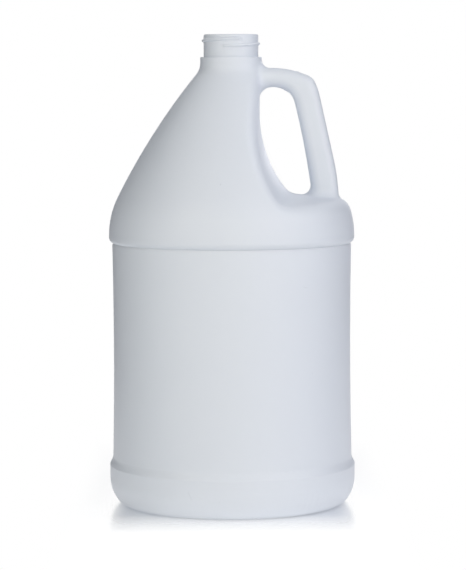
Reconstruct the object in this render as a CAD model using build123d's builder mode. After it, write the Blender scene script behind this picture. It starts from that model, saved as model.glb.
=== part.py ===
from build123d import *
from math import asin, atan2, cos, degrees, pi, radians, sin, tan
import os

# Round handled jug, blown in one piece. All sizes in millimetres, +Z up.
# The jug stands on its foot ring at z = 0 with the neck on the Z axis and the handle toward +X.

# Whole jug
height = 301.6
shoulder_r = 78.9
wall = 0.85

# Foot, heel and base bead
heel_w = 11.2
heel_h = 17.0
heel_low_r = 8.5
ring_w = 4.6
step_h = 3.6
dome_h = 7.0
bead_step = 0.3
bead_h = 25.4
bead_edge_r = 1.6
flare_h = 4.0
flare_blend_r = 6.0

# Label panel, a little waisted
panel_low_in = 1.7
panel_mid_in = 2.6
panel_top_in = 2.05
panel_lip_h = 1.2

# Shoulder: tuck under the roll, the roll, then the bowed cone
tuck_share = 0.5713
tuck_r = 4.3
tuck_deg = 72.0
roll_lift = 0.9
roll_share = 0.691
cone_bow_deg = 2.5

# Collar and neck finish
finish_h = 14.4
neck_r = 17.4
lip_r = 0.8
collar_r = 19.6
collar_edge_r = 0.7
collar_drop = 7.8
collar_blend_r = 12.0
neck_wall = 2.0
collar_wall = 1.7
bore_slope_h = 2.2

# A little over one turn of coarse thread on the neck, fading out at both ends
thread_h = 1.2
thread_pitch = 4.23
thread_deg = 406.0
thread_start_deg = 250.0
thread_rise = 7.0
thread_foot_w = 2.9
thread_crest_w = 1.3
thread_crown = 0.35
thread_end_crown = 0.01
thread_sink = 0.4
thread_fade_deg = 14.5
thread_sections = 57

# Scoop behind the handle. Shares are parts of the shoulder's radius.
scoop_wall_in = 1.4
scoop_bulge_r = 272.0
scoop_bulge_deg = 37.0
scoop_top_drop = 9.2
scoop_top_r = 8.0
scoop_straight_drop = 36.5
scoop_low_share = 0.432
scoop_low_lift = 30.6
scoop_floor_r = 12.5
scoop_floor_deg = 4.5
scoop_edge_r = 10.5
scoop_reach_share = 1.2

# Handle: corners of its outer line down from the arm to the foot, then its inner line
handle_depth = 24.0
handle_edge_r = 5.85
root_x = 8.0
arm_drop = 7.15
arm_thick = 12.0
arm_bend_share = 0.461
arm_bow_share = 0.7
knuckle_share = 0.6627
knuckle_drop = 13.1
knuckle_r = 9.2
grip_high_share = 0.708
grip_high_drop = 21.6
grip_high_r = 36.0
grip_low_share = 0.857
grip_low_lift = 39.4
grip_low_r = 136.0
foot_share = 0.8845
foot_lift = 12.0
grip_w_share = 0.205
grip_flare = 1.3
palm_share = 0.165
gusset_share = 0.29
gusset_r = 8.0
gusset_deg = 45.0
root_r = 5.5
foot_blend_r = 6.0

# Heights and radii that follow from the sizes above
ledge_z = height - finish_h
cone_foot_z = ledge_z - collar_drop
bead_r = shoulder_r + bead_step
foot_r = bead_r - heel_w
ring_in_r = foot_r - ring_w
heel_side_r = (heel_w**2 + heel_h**2 - 2 * heel_h * heel_low_r) / (2 * (heel_w - heel_low_r))
heel_low_deg = degrees(atan2(heel_side_r - heel_w, heel_h - heel_low_r))
panel_z = bead_h + flare_h
panel_low_r = shoulder_r - panel_low_in
panel_mid_r = shoulder_r - panel_mid_in
panel_top_r = shoulder_r - panel_top_in
tuck_z = tuck_share * height
panel_top_z = tuck_z - tuck_r * sin(radians(tuck_deg)) - panel_lip_h
panel_mid_z = (panel_z + panel_top_z) / 2
flare_tilt = atan2(bead_r - panel_low_r, flare_h)
roll_z = tuck_z + roll_lift
roll_r = roll_share * shoulder_r
roll_deg = degrees(atan2(shoulder_r - collar_r, cone_foot_z - roll_z)) - cone_bow_deg
collar_in_r = collar_r - collar_wall
cone_in_z = cone_foot_z + collar_wall - wall
bore_r = neck_r - neck_wall
arm_top_z = ledge_z - arm_drop
arm_under_z = arm_top_z - arm_thick
grip_w = grip_w_share * shoulder_r
palm_r = palm_share * shoulder_r
scoop_wall_x = collar_r - scoop_wall_in
scoop_reach = scoop_reach_share * shoulder_r

# The half section is drawn on the -X side so that no seam runs through the handle
section_plane = Plane(origin=(0, 0, 0), x_dir=(-1, 0, 0), z_dir=(0, 1, 0))


def corner(sketch, x, z):
    return sketch.vertices().sort_by_distance((x, z))[0]


def across(point, heading, distance):
    # The point at a distance to the right of a heading
    return point + Vector(heading.Y, -heading.X) * distance


def half_section(inset):
    # Half section of the outside, or of the inside when it is moved in by the wall
    lift = inset * tan(flare_tilt / 2)
    side_r = bead_r - inset
    low_r = panel_low_r - inset
    top_r = panel_top_r - inset
    roll_side_r = shoulder_r - inset
    in_tuck_r = tuck_r - inset
    groove_r = roll_side_r - in_tuck_r * (1 - cos(radians(tuck_deg)))
    groove_z = tuck_z - in_tuck_r * sin(radians(tuck_deg))
    with BuildSketch(section_plane) as section:
        with BuildLine():
            dome = ThreePointArc(
                (0, dome_h + inset),
                (ring_in_r / 2, (3 * dome_h + step_h) / 4 + inset),
                (ring_in_r - step_h, step_h + inset),
            )
            Line(dome @ 1, (ring_in_r, inset))
            Line((ring_in_r, inset), (foot_r, inset))
            heel_low = JernArc((foot_r, inset), (1, 0), heel_low_r - inset, heel_low_deg)
            heel_side = JernArc(heel_low @ 1, heel_low % 1, heel_side_r - inset, 90 - heel_low_deg)
            Line(heel_side @ 1, (side_r, bead_h - lift))
            Line((side_r, bead_h - lift), (low_r, panel_z - lift))
            ThreePointArc((low_r, panel_z - lift), (panel_mid_r - inset, panel_mid_z), (top_r, panel_top_z))
            Line((top_r, panel_top_z), (groove_r, groove_z))
            RadiusArc((groove_r, groove_z), (roll_side_r, tuck_z), -in_tuck_r)
            Line((roll_side_r, tuck_z), (roll_side_r, roll_z))
            roll = JernArc((roll_side_r, roll_z), (0, 1), roll_r - inset, roll_deg)
            if inset == 0:
                TangentArc(roll @ 1, (collar_r, cone_foot_z), tangent=roll % 1)
                Line((collar_r, cone_foot_z), (collar_r, ledge_z))
                Line((collar_r, ledge_z), (neck_r, ledge_z))
                Line((neck_r, ledge_z), (neck_r, height))
                Line((neck_r, height), (0, height))
                Line((0, height), dome @ 0)
            else:
                TangentArc(roll @ 1, (collar_in_r, cone_in_z), tangent=roll % 1)
                Line((collar_in_r, cone_in_z), (collar_in_r, ledge_z - bore_slope_h))
                Line((collar_in_r, ledge_z - bore_slope_h), (bore_r, ledge_z))
                Line((bore_r, ledge_z), (bore_r, height + inset))
                Line((bore_r, height + inset), (0, height + inset))
                Line((0, height + inset), dome @ 0)
        make_face()
        fillet(corner(section, side_r, bead_h - lift), bead_edge_r - inset)
        fillet(corner(section, low_r, panel_z - lift), flare_blend_r + inset)
        if inset == 0:
            fillet(corner(section, collar_r, cone_foot_z), collar_blend_r)
            fillet(corner(section, collar_r, ledge_z), collar_edge_r)
            fillet(corner(section, neck_r, height), lip_r)
    return section.sketch


def jug_form(inset):
    # The whole jug as a solid form, drawn in from the outside by the inset
    # The scoop's tool swings about a far, tilted axis, so its wall and floor fall away to front and back
    sweep_half = degrees(asin(scoop_reach / scoop_bulge_r))
    tilt = radians(scoop_bulge_deg)
    bow_start = Vector(scoop_wall_x, 0, ledge_z - scoop_straight_drop)
    bow_end = (scoop_low_share * shoulder_r, roll_z + scoop_low_lift)
    far_point = bow_start - Vector(cos(tilt), 0, sin(tilt)) * scoop_bulge_r
    far_axis = Axis(far_point, (-sin(tilt), 0, cos(tilt)))
    scoop_top_z = ledge_z - scoop_top_drop
    with BuildPart() as scoop:
        with BuildSketch(Plane.XZ):
            with BuildLine():
                ceiling = JernArc((scoop_wall_x + scoop_top_r, scoop_top_z), (-1, 0), scoop_top_r, 90)
                back = Line(ceiling @ 1, (bow_start.X, bow_start.Z))
                bow = TangentArc(back @ 1, bow_end, tangent=back % 1)
                bow_deg = degrees(atan2((bow % 1).X, -(bow % 1).Y))
                turn = JernArc(bow @ 1, bow % 1, scoop_floor_r, 90 - bow_deg - scoop_floor_deg)
                ground = Line(turn @ 1, turn @ 1 + (turn % 1) * scoop_reach)
                outer = Line(ground @ 1, ((ground @ 1).X, scoop_top_z))
                Line(outer @ 1, ceiling @ 0)
            make_face()
            if inset > 0:
                offset(amount=inset)
        revolve(axis=far_axis, revolution_arc=2 * sweep_half)
    scoop_tool = scoop.part.rotate(far_axis, -sweep_half)

    # The handle's outline runs down the outer line, then back up the inner one
    bend = Vector(arm_bend_share * shoulder_r, arm_top_z)
    knuckle = Vector(knuckle_share * shoulder_r, ledge_z - knuckle_drop)
    grip_high = Vector(grip_high_share * shoulder_r, ledge_z - grip_high_drop)
    grip_low = Vector(grip_low_share * shoulder_r, roll_z + grip_low_lift)
    foot = Vector(foot_share * shoulder_r, roll_z + foot_lift)
    grip_heading = (grip_low - grip_high).normalized()
    foot_heading = (foot - grip_low).normalized()
    with BuildPart() as handle:
        with BuildSketch(Plane.XZ) as outline:
            with BuildLine():
                outer = Polyline((root_x, arm_top_z), bend, knuckle, grip_high, grip_low, foot)
                inner_grip = ThreePointArc(
                    across(grip_low, foot_heading, grip_w + grip_flare),
                    across((grip_low + grip_high) / 2, grip_heading, grip_w),
                    across(grip_high + grip_heading * palm_r / 2, grip_heading, grip_w),
                )
                sink = ((inner_grip @ 0).Y - foot.Y) / (inner_grip % 0).Y
                inner_foot = Line(inner_grip @ 0 - (inner_grip % 0) * sink, inner_grip @ 0)
                Line(outer @ 1, inner_foot @ 0)
                rise = (arm_under_z - (inner_grip @ 1).Y) / (inner_grip % 1).Y
                palm = Line(inner_grip @ 1, inner_grip @ 1 + (inner_grip % 1) * rise)
                under = Line(palm @ 1, (gusset_share * shoulder_r, arm_under_z))
                fall = ((under @ 1).X - root_x) * tan(radians(gusset_deg))
                gusset = Line(under @ 1, (root_x, arm_under_z - fall))
                Line(gusset @ 1, outer @ 0)
            make_face()
            fillet(corner(outline, bend.X, bend.Y), arm_bow_share * shoulder_r)
            fillet(corner(outline, knuckle.X, knuckle.Y), knuckle_r)
            fillet(corner(outline, grip_high.X, grip_high.Y), grip_high_r)
            fillet(corner(outline, grip_low.X, grip_low.Y), grip_low_r)
            fillet(corner(outline, (palm @ 1).X, arm_under_z), palm_r)
            fillet(corner(outline, (under @ 1).X, arm_under_z), gusset_r)
            if inset > 0:
                offset(amount=-inset)
        extrude(amount=handle_depth / 2 - inset, both=True)
        fillet(handle.faces().filter_by(Axis.Y).edges(), handle_edge_r - inset)

    # Body, less the scoop, plus the handle with its roots blended in
    with BuildPart() as form:
        revolve(half_section(inset), axis=Axis.Z)
        add(scoop_tool, mode=Mode.SUBTRACT)
        fillet(form.edges(Select.NEW), scoop_edge_r - inset)
        add(handle.part)
        if inset == 0:
            seam = form.edges(Select.NEW)
            middle_z = (roll_z + ledge_z) / 2
            fillet(seam.filter_by(lambda e: e.center().Z > middle_z), root_r)
            foot_seam = seam.filter_by(lambda e: e.center().Z < middle_z)
            fillet(foot_seam, foot_blend_r)
    return form.part


# The thread is lofted through sections set round the neck
root_in_r = neck_r - thread_sink
with BuildPart() as thread:
    for step in range(thread_sections):
        turned = thread_deg * step / (thread_sections - 1)
        azimuth = radians(thread_start_deg + turned)
        fade = min(1, turned / thread_fade_deg, (thread_deg - turned) / thread_fade_deg)
        crest_x = neck_r - thread_sink / 2 + (thread_h + thread_sink / 2) * sin(fade * pi / 2)
        crown_x = crest_x - thread_end_crown - thread_crown * fade
        section_z = ledge_z + thread_rise + thread_pitch * turned / 360
        radial_plane = Plane(
            origin=(0, 0, section_z),
            x_dir=(cos(azimuth), sin(azimuth), 0),
            z_dir=(sin(azimuth), -cos(azimuth), 0),
        )
        with BuildSketch(radial_plane):
            with BuildLine():
                root = Line((root_in_r, thread_foot_w / 2), (root_in_r, -thread_foot_w / 2))
                low_flank = Line(root @ 1, (crown_x, -thread_crest_w / 2))
                crest = ThreePointArc(low_flank @ 1, (crest_x, 0), (crown_x, thread_crest_w / 2))
                Line(crest @ 1, root @ 0)
            make_face()
    loft()

skin = jug_form(0)
hollow = jug_form(wall)
with BuildPart() as jug:
    add(skin)
    add(thread.part)
    add(hollow, mode=Mode.SUBTRACT)
jug.part.label = "jug"
os.makedirs("parts", exist_ok=True)
export_step(jug.part, "parts/jug.step")
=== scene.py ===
import math

import bmesh
import bpy
from mathutils import Matrix, Vector, noise


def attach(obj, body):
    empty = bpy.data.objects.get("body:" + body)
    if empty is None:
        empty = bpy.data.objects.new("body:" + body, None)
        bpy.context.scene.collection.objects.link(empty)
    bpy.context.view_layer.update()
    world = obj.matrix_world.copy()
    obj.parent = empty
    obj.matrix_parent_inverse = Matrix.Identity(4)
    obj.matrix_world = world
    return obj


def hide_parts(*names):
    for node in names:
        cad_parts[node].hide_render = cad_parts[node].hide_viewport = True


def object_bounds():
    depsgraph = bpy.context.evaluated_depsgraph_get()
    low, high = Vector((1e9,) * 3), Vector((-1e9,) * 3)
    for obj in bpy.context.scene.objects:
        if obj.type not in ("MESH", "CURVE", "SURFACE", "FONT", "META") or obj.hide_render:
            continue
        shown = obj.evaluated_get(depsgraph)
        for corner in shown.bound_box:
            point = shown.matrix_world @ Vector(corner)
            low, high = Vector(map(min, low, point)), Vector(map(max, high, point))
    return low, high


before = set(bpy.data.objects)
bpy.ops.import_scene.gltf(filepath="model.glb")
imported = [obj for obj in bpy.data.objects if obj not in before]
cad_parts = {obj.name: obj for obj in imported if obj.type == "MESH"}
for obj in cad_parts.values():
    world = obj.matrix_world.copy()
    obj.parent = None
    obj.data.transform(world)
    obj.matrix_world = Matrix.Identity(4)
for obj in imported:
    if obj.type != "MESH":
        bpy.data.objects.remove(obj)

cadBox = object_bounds()
scene = bpy.context.scene
print("frame loaded:", sorted(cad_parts))


# small helpers for objects, meshes and nodes

def addObject(name, data, *materials):
    obj = bpy.data.objects.new(name, data)
    scene.collection.objects.link(obj)
    for material in materials:
        data.materials.append(material)
    return obj


def meshFrom(bm, name):
    mesh = bpy.data.meshes.new(name)
    bm.to_mesh(mesh)
    bm.free()
    return mesh


def onlyVerts(geom):
    return [g for g in geom if isinstance(g, bmesh.types.BMVert)]


def newMaterial(name):
    mat = bpy.data.materials.new(name)
    mat.use_nodes = True
    return mat


def skinOf(mat):
    return mat.node_tree.nodes["Principled BSDF"]


def setInputs(node, values):
    for name, value in values.items():
        node.inputs[name].default_value = value


def link(tree, source, target):
    tree.links.new(source, target)


def combine(tree, operation, *sources):
    node = tree.nodes.new("ShaderNodeMath")
    node.operation = operation
    for source, target in zip(sources, node.inputs):
        link(tree, source, target)
    return node.outputs[0]


def howFar(tree, source):
    node = tree.nodes.new("ShaderNodeVectorMath")
    node.operation = "LENGTH"
    link(tree, source, node.inputs[0])
    return node.outputs["Value"]


def fade(tree, source, span, values, kind="SMOOTHSTEP"):
    node = tree.nodes.new("ShaderNodeMapRange")
    node.interpolation_type = kind
    setInputs(node, {"From Min": span[0], "From Max": span[1], "To Min": values[0], "To Max": values[1]})
    link(tree, source, node.inputs["Value"])
    return node.outputs["Result"]


def blendShaders(tree, share, first, second):
    node = tree.nodes.new("ShaderNodeMixShader")
    for source, target in zip((share, first, second), node.inputs):
        link(tree, source, target)
    return node.outputs[0]


# white blown plastic, a little translucent, with a few specks and hairs caught in it

plastic = {
    "color": (0.776, 0.812, 0.876, 1.0),
    "dirtColor": (0.52, 0.55, 0.60, 1.0),
    "roughness": 0.46,
    "ior": 1.5,
    "glowThrough": 0.15,
    "glowDepth": 0.0016,
    "peelScale": 420.0,      # fine skin of the mould
    "peelHeight": 0.00002,
    "speckScale": 110.0,     # faint specks all over: full to the first number, gone at the second
    "speckSpan": (0.012, 0.027),
    "speckShare": 0.45,
    "markSpan": (0.4, 1.0),  # the same for each mark, in its half sizes
    "markDepth": 0.001,
    "marks": {               # turn about the jug's axis, radius, height, lean, half width, half length, share
        "coneDot": (-5.7, 0.0674, 0.2084, 0.0, 0.00035, 0.00075, 0.50),
        "heelDot": (-5.9, 0.0787, 0.0126, 0.0, 0.00035, 0.00035, 0.55),
        "coneSpeck": (-43.2, 0.0574, 0.2263, 0.0, 0.00030, 0.00040, 0.50),
        "panelSpeck": (-34.5, 0.0763, 0.0948, 0.0, 0.00035, 0.00035, 0.50),
        "panelSpeckRight": (41.0, 0.0763, 0.0901, 0.0, 0.00030, 0.00035, 0.45),
        "heelHairTop": (-19.9, 0.0792, 0.0172, 30.0, 0.00019, 0.00160, 0.50),
        "heelHairLow": (-19.1, 0.0792, 0.0146, 20.0, 0.00019, 0.00200, 0.48),
        "panelScratch": (36.8, 0.0764, 0.1441, 80.0, 0.00020, 0.00280, 0.30),
    },
}


def addMark(tree, coords, turnDeg, radius, height, leanDeg, halfWide, halfLong, share):
    turn = math.radians(turnDeg)
    local = tree.nodes.new("ShaderNodeMapping")          # a small egg-shaped space round the mark
    local.vector_type = "TEXTURE"
    setInputs(local, {
        "Location": (radius * math.sin(turn), -radius * math.cos(turn), height),
        "Rotation": (0.0, -math.radians(leanDeg), turn),
        "Scale": (halfWide, plastic["markDepth"], halfLong),
    })
    link(tree, coords, local.inputs["Vector"])
    return fade(tree, howFar(tree, local.outputs["Vector"]), plastic["markSpan"], (share, 0.0), "LINEAR")


def makePlastic():
    mat = newMaterial("jugPlastic")
    tree = mat.node_tree
    skin = skinOf(mat)
    setInputs(skin, {
        "Roughness": plastic["roughness"],
        "IOR": plastic["ior"],
        "Subsurface Weight": plastic["glowThrough"],
        "Subsurface Radius": (1.0, 1.0, 1.0),
        "Subsurface Scale": plastic["glowDepth"],
    })
    coords = tree.nodes.new("ShaderNodeTexCoord").outputs["Object"]

    specks = tree.nodes.new("ShaderNodeTexVoronoi")
    setInputs(specks, {"Scale": plastic["speckScale"]})
    link(tree, coords, specks.inputs["Vector"])
    share = (plastic["speckShare"], 0.0)
    dirt = fade(tree, specks.outputs["Distance"], plastic["speckSpan"], share, "LINEAR")
    for values in plastic["marks"].values():
        dirt = combine(tree, "MAXIMUM", dirt, addMark(tree, coords, *values))
    tint = tree.nodes.new("ShaderNodeMix")
    tint.data_type = "RGBA"
    setInputs(tint, {"A": plastic["color"], "B": plastic["dirtColor"]})
    link(tree, dirt, tint.inputs["Factor"])
    link(tree, tint.outputs["Result"], skin.inputs["Base Color"])

    peel = tree.nodes.new("ShaderNodeTexNoise")
    setInputs(peel, {"Scale": plastic["peelScale"]})
    link(tree, coords, peel.inputs["Vector"])
    bump = tree.nodes.new("ShaderNodeBump")
    setInputs(bump, {"Distance": plastic["peelHeight"]})
    link(tree, peel.outputs["Fac"], bump.inputs["Height"])
    link(tree, bump.outputs["Normal"], skin.inputs["Normal"])
    return mat


jugPlastic = makePlastic()


# the same plastic inside, with a faint glow for the light that comes through the wall

inside = {
    "roughness": 0.55,
    "glow": 0.10,
}


def makeInside():
    mat = newMaterial("jugInside")
    setInputs(skinOf(mat), {
        "Base Color": plastic["color"],
        "Roughness": inside["roughness"],
        "Emission Color": plastic["color"],
        "Emission Strength": inside["glow"],
    })
    return mat


jugInside = makeInside()
print("plastic made, with", len(plastic["marks"]), "marks")


# the jug itself, a welded copy of the solid with its mould line, base weld and trimmed flash

jug = {
    "weld": 0.000004,
    "sharpDeg": 32.0,
    "normalWeight": 50,
    "lipDrop": 0.0007,       # the outer skin ends this far below the top
    "onPlane": 0.000002,     # points this near lie on the mould's plane
    "onCrest": 0.000004,     # and these once the line is raised
    "lineHalf": 0.00022,     # mould line, half its width and its height
    "lineLift": 0.0001,
    "pinchHalf": 0.0007,     # weld across the pushed-up base, the same, with a flat top
    "pinchTopHalf": 0.000242,
    "pinchLift": 0.00035,
    "baseZ": 0.012,          # the base is below this, inside the foot ring
    "ringIn": 0.0630,
    "footZ": 0.0008,         # the foot ring itself stays flat
}

flash = {
    "cuts": 12,
    "wide": 0.0003,
    "sink": 0.00008,
    "ragScale": 2400.0,      # ragged along its edge
    "ragMean": 0.8,
    "ragSwing": 0.5,
    "endRise": 0.1,
    "scraps": {              # span in x, span in z, height, where along it is highest, way out
        "handleTop": ((0.0418, 0.0436), (0.268, 0.290), 0.00040, 0.5, (0.35, 0.0, 0.94)),
        "gripHole": ((0.0284, 0.0370), (0.255, 0.270), 0.00060, 0.9, (-0.30, 0.0, -0.95)),
    },
}

lipZ = cadBox[1][2] - jug["lipDrop"]


def cutAcross(bm, geom, y):
    bmesh.ops.bisect_plane(bm, geom=geom, dist=jug["onPlane"],
                           plane_co=(0.0, y, 0.0), plane_no=(0.0, 1.0, 0.0))


def outerSkin(bm):
    first = min(bm.verts, key=lambda v: v.co.z)          # spreads from the foot up to the lip
    skin, ahead = {first}, [first]
    while ahead:
        here = ahead.pop()
        for edge in here.link_edges:
            other = edge.other_vert(here)
            if other not in skin and other.co.z < lipZ:
                skin.add(other)
                ahead.append(other)
    return skin


def underBase(v):
    return v.co.z < jug["baseZ"] and v.co.xy.length < jug["ringIn"]


def cutLines(bm):
    for y in (-jug["lineHalf"], 0.0, jug["lineHalf"]):
        cutAcross(bm, bm.verts[:] + bm.edges[:] + bm.faces[:], y)
    skin = outerSkin(bm)
    base = [f for f in bm.faces if all(v in skin and underBase(v) for v in f.verts)]
    for y in (-jug["pinchHalf"], jug["pinchHalf"]):
        cutAcross(bm, list({g for f in base if f.is_valid for g in (*f.verts, *f.edges, f)}), y)
    bm.normal_update()


def liftLines(skin):
    lifts = []
    for v in skin:
        across = abs(v.co.y)
        if underBase(v):
            if across < jug["pinchTopHalf"]:
                lifts.append((v, v.normal * jug["pinchLift"]))
        elif across < jug["onPlane"] and v.co.z > jug["footZ"]:
            lifts.append((v, v.normal * jug["lineLift"]))
    for v, lift in lifts:
        v.co += lift
    return len(lifts)


def addFlash(bm, crest, spanX, spanZ, height, peak, way):
    edges = [e for e in bm.edges
             if all(v in crest and spanZ[0] < v.co.z < spanZ[1] for v in e.verts)
             and max(v.co.x for v in e.verts) > spanX[0] and min(v.co.x for v in e.verts) < spanX[1]]
    fin = bmesh.new()
    points = {v: fin.verts.new(v.co) for e in edges for v in e.verts}
    for e in edges:
        fin.edges.new([points[v] for v in e.verts])
    bmesh.ops.subdivide_edges(fin, edges=fin.edges, cuts=flash["cuts"])
    past = [v for v in fin.verts if not spanX[0] <= v.co.x <= spanX[1]]
    bmesh.ops.delete(fin, geom=past, context="VERTS")
    way = Vector(way).normalized()
    bmesh.ops.translate(fin, verts=fin.verts, vec=-way * flash["sink"])
    for v in onlyVerts(bmesh.ops.extrude_edge_only(fin, edges=fin.edges)["geom"]):
        t = (v.co.x - spanX[0]) / (spanX[1] - spanX[0])
        rise = max(flash["endRise"], min(t / peak, (1.0 - t) / (1.0 - peak))) ** 0.5
        rag = flash["ragMean"] + flash["ragSwing"] * noise.noise(v.co * flash["ragScale"])
        v.co += way * (height * rise * rag + flash["sink"])
    bmesh.ops.recalc_face_normals(fin, faces=fin.faces)
    bmesh.ops.solidify(fin, geom=fin.faces, thickness=flash["wide"])
    middle = sum(v.co.y for v in fin.verts) / len(fin.verts)
    bmesh.ops.translate(fin, verts=fin.verts, vec=(0.0, -middle, 0.0))
    bmesh.ops.recalc_face_normals(fin, faces=fin.faces)
    print("flash:", len(edges), "edges of the mould line,", len(fin.faces), "faces")
    mesh = meshFrom(fin, "flash")
    bm.from_mesh(mesh)
    bpy.data.meshes.remove(mesh)


def makeJug():
    bm = bmesh.new()
    bm.from_mesh(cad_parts["jug"].data)
    bmesh.ops.remove_doubles(bm, verts=bm.verts, dist=jug["weld"])
    cutLines(bm)
    skin = outerSkin(bm)
    lifted = liftLines(skin)
    crest = {v for v in skin if abs(v.co.y) < jug["onCrest"]}
    for face in bm.faces:
        face.material_index = int(any(v not in skin and v.co.z < lipZ for v in face.verts))
    openEdges = sum(1 for e in bm.edges if not e.is_manifold)
    for values in flash["scraps"].values():
        addFlash(bm, crest, *values)
    mesh = meshFrom(bm, "jugBody")
    mesh.shade_smooth()
    mesh.set_sharp_from_angle(angle=math.radians(jug["sharpDeg"]))
    obj = addObject("jugBody", mesh, jugPlastic, jugInside)
    weighted = obj.modifiers.new("evenNormals", "WEIGHTED_NORMAL")
    weighted.keep_sharp = True
    weighted.weight = jug["normalWeight"]
    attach(obj, "root")
    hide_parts("jug")
    print("jug:", len(mesh.polygons), "faces,", openEdges, "open edges,", lifted, "points on the mould line")


makeJug()


# pale glowing table, white to the camera, with a soft shadow and a short reflection of the jug

table = {
    "size": 3.0,
    "color": (0.9, 0.9, 0.9, 1.0),
    "glow": 0.125,           # light that the table gives the jug from below
    "glowSpan": (1.0, 2.5),  # it dies away between these distances
    "footGlow": 0.07,        # more of it close to the foot
    "footGlowSpan": (0.085, 0.130),
    "seenColor": (0.3, 0.3, 0.3, 1.0),
    "seenGlow": 0.83,        # the camera sees this and the shadow on seenColor
    "sideSpan": (0.080, 0.106),          # plain white beyond the jug's sides
    "farSpan": (0.13, 0.30),             # and further out all round
    "mirror": 0.97,          # the jug's reflection, full under it and gone a little way out
    "mirrorSpan": (0.050, 0.110),
    "mirrorSideSpan": (0.065, 0.089),
    "mirrorRoughness": 0.20,
}

white = (1.0, 1.0, 1.0, 1.0)


def seenRays(tree):
    rays = tree.nodes.new("ShaderNodeLightPath").outputs
    first = combine(tree, "MAXIMUM", rays["Is Camera Ray"], rays["Is Glossy Ray"])
    return combine(tree, "MAXIMUM", first, rays["Is Transmission Ray"])


def makeTableWhite():
    mat = newMaterial("tableWhite")
    tree = mat.node_tree
    tree.nodes.clear()
    seen = seenRays(tree)
    coords = tree.nodes.new("ShaderNodeTexCoord").outputs["Object"]
    far = howFar(tree, coords)
    place = tree.nodes.new("ShaderNodeSeparateXYZ")
    link(tree, coords, place.inputs[0])
    side = combine(tree, "ABSOLUTE", place.outputs["X"])
    front = combine(tree, "ABSOLUTE", place.outputs["Y"])

    # diffuse and glow, each with its own value for the rays that see the table
    plain = tree.nodes.new("ShaderNodeBsdfDiffuse")
    color = tree.nodes.new("ShaderNodeMix")
    color.data_type = "RGBA"
    setInputs(color, {"A": table["color"], "B": table["seenColor"]})
    link(tree, seen, color.inputs["Factor"])
    link(tree, color.outputs["Result"], plain.inputs["Color"])
    glow = tree.nodes.new("ShaderNodeEmission")
    strength = tree.nodes.new("ShaderNodeMix")
    setInputs(strength, {"B": table["seenGlow"]})
    wide = fade(tree, far, table["glowSpan"], (table["glow"], 0.0))
    foot = fade(tree, far, table["footGlowSpan"], (table["footGlow"], 0.0))
    link(tree, combine(tree, "ADD", wide, foot), strength.inputs["A"])
    link(tree, seen, strength.inputs["Factor"])
    link(tree, strength.outputs["Result"], glow.inputs["Strength"])
    near = tree.nodes.new("ShaderNodeAddShader")
    link(tree, plain.outputs[0], near.inputs[0])
    link(tree, glow.outputs[0], near.inputs[1])

    # reflection close to the jug
    mirror = tree.nodes.new("ShaderNodeBsdfGlossy")
    setInputs(mirror, {"Color": white, "Roughness": table["mirrorRoughness"]})
    ahead = fade(tree, front, table["mirrorSpan"], (table["mirror"], 0.0), "LINEAR")
    beside = fade(tree, side, table["mirrorSideSpan"], (1.0, 0.0))
    share = combine(tree, "MULTIPLY", combine(tree, "MULTIPLY", ahead, beside), seen)
    polished = blendShaders(tree, share, near.outputs[0], mirror.outputs[0])

    # plain white further out
    clear = tree.nodes.new("ShaderNodeEmission")
    setInputs(clear, {"Color": white, "Strength": 1.0})
    beyond = fade(tree, side, table["sideSpan"], (0.0, 1.0))
    allRound = fade(tree, far, table["farSpan"], (0.0, 1.0))
    share = combine(tree, "MULTIPLY", combine(tree, "MAXIMUM", beyond, allRound), seen)
    out = tree.nodes.new("ShaderNodeOutputMaterial")
    link(tree, blendShaders(tree, share, polished, clear.outputs[0]), out.inputs["Surface"])
    return mat


def makeTable():
    bm = bmesh.new()
    bmesh.ops.create_grid(bm, x_segments=1, y_segments=1, size=table["size"])
    addObject("table", meshFrom(bm, "table"), makeTableWhite())


makeTable()
print("table laid")


# soft studio light: dim surround, soft boxes round the jug, a small lamp behind the grip hole, dark cards

light = {
    "surround": 0.305,
    "surroundColor": (0.91, 1.0, 1.20, 1.0),
    "boxWide": 0.8,
    "boxTall": 1.6,
    "boxFar": 2.0,
    "aim": (0.0, 0.0, 0.15),
    "boxes": {               # angle from the camera's side, height angle, power, colour
        "frontBox": (4.0, 12.0, 5.6, (0.97, 1.0, 0.68)),
        "rightBox": (40.0, 21.0, 6.5, (1.17, 1.0, 1.02)),
        "leftBox": (-40.0, 24.0, 7.7, (1.08, 1.0, 0.82)),
        "sideBox": (88.0, 20.0, 7.7, (0.92, 1.0, 1.07)),
        "highBox": (70.0, 46.0, 4.2, (0.95, 1.0, 0.98)),
        "rearBox": (180.0, 12.0, 7.0, (1.0, 1.0, 1.0)),
    },
    "noShine": ("rearBox",),  # lights the back, but nothing mirrors it
}

gripLamp = {
    "place": (0.28, 1.27, 0.30),
    "aim": (0.028, 0.0, 0.228),
    "power": 9.0,
    "coneDeg": 3.6,
    "coneBlend": 0.6,
    "soft": 0.10,
}

flags = {
    "color": (0.01, 0.01, 0.01, 1.0),
    "height": 0.60,
    "cards": {               # they draw the jug's edges: near end, far end
        "leftFlag": ((-0.42, -0.05), (-0.34, 0.90)),
        "rightFlag": ((0.58, -0.05), (0.48, 0.90)),
    },
}


def addLamp(name, data, place, out):
    obj = addObject(name, data)
    obj.location = place
    obj.rotation_euler = out.to_track_quat("Z", "Y").to_euler()
    obj.visible_camera = False
    return obj


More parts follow.
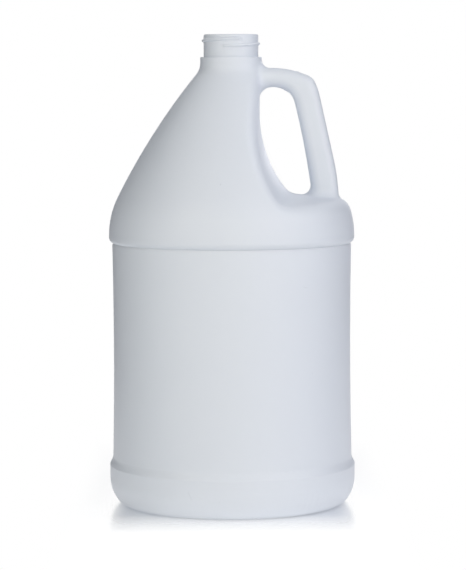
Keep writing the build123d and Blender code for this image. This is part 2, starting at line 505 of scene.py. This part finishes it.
def softBox(name, turnDeg, riseDeg, power, color):
    data = bpy.data.lights.new(name, "AREA")
    data.shape = "RECTANGLE"
    data.size = light["boxWide"]
    data.size_y = light["boxTall"]
    data.energy = power
    data.color = color
    turn, rise = math.radians(turnDeg), math.radians(riseDeg)
    out = Vector((math.sin(turn) * math.cos(rise), -math.cos(turn) * math.cos(rise), math.sin(rise)))
    obj = addLamp(name, data, Vector(light["aim"]) + out * light["boxFar"], out)
    obj.visible_glossy = name not in light["noShine"]


def makeGripLamp():
    data = bpy.data.lights.new("backLamp", "SPOT")
    data.energy = gripLamp["power"]
    data.spot_size = math.radians(gripLamp["coneDeg"])
    data.spot_blend = gripLamp["coneBlend"]
    data.shadow_soft_size = gripLamp["soft"]
    addLamp("backLamp", data, gripLamp["place"], Vector(gripLamp["place"]) - Vector(gripLamp["aim"]))


def darkFlag(name, near, far):
    mat = newMaterial(name)
    setInputs(skinOf(mat), {"Base Color": flags["color"], "Specular IOR Level": 0.0, "Roughness": 1.0})
    bm = bmesh.new()
    rail = bm.edges.new([bm.verts.new((*end, 0.0)) for end in (near, far)])
    raised = bmesh.ops.extrude_edge_only(bm, edges=[rail])["geom"]
    bmesh.ops.translate(bm, verts=onlyVerts(raised), vec=(0.0, 0.0, flags["height"]))
    obj = addObject(name, meshFrom(bm, name), mat)
    obj.visible_camera = False


def makeSurround():
    scene.world = bpy.data.worlds.new("studio")
    scene.world.use_nodes = True
    tree = scene.world.node_tree
    tree.nodes.clear()
    dim = tree.nodes.new("ShaderNodeBackground")
    setInputs(dim, {"Color": light["surroundColor"], "Strength": light["surround"]})
    clear = tree.nodes.new("ShaderNodeBackground")
    setInputs(clear, {"Color": white, "Strength": 1.0})
    out = tree.nodes.new("ShaderNodeOutputWorld")
    link(tree, blendShaders(tree, seenRays(tree), dim.outputs[0], clear.outputs[0]), out.inputs["Surface"])


makeSurround()
for name, values in light["boxes"].items():
    softBox(name, *values)
makeGripLamp()
for name, ends in flags["cards"].items():
    darkFlag(name, *ends)
scene.view_settings.view_transform = "Standard"
print("light set:", len(light["boxes"]), "boxes,", len(flags["cards"]), "dark cards")


# camera at the photograph's angle

camera = {
    "place": (0.00075, -1.550, 0.2718),
    "pitchDeg": 4.834,
    "rollDeg": -0.21,
    "lens": 152.24,
    "sensor": 36.0,
    "sees": 50.0,
}


def makeCamera():
    data = bpy.data.cameras.new("camera")
    data.sensor_width = camera["sensor"]
    data.lens = camera["lens"]
    data.clip_end = camera["sees"]
    obj = addObject("camera", data)
    turn = Matrix.Rotation(math.radians(90.0 - camera["pitchDeg"]), 4, "X")
    roll = Matrix.Rotation(math.radians(camera["rollDeg"]), 4, "Z")
    obj.matrix_world = Matrix.Translation(camera["place"]) @ turn @ roll
    scene.camera = obj


makeCamera()
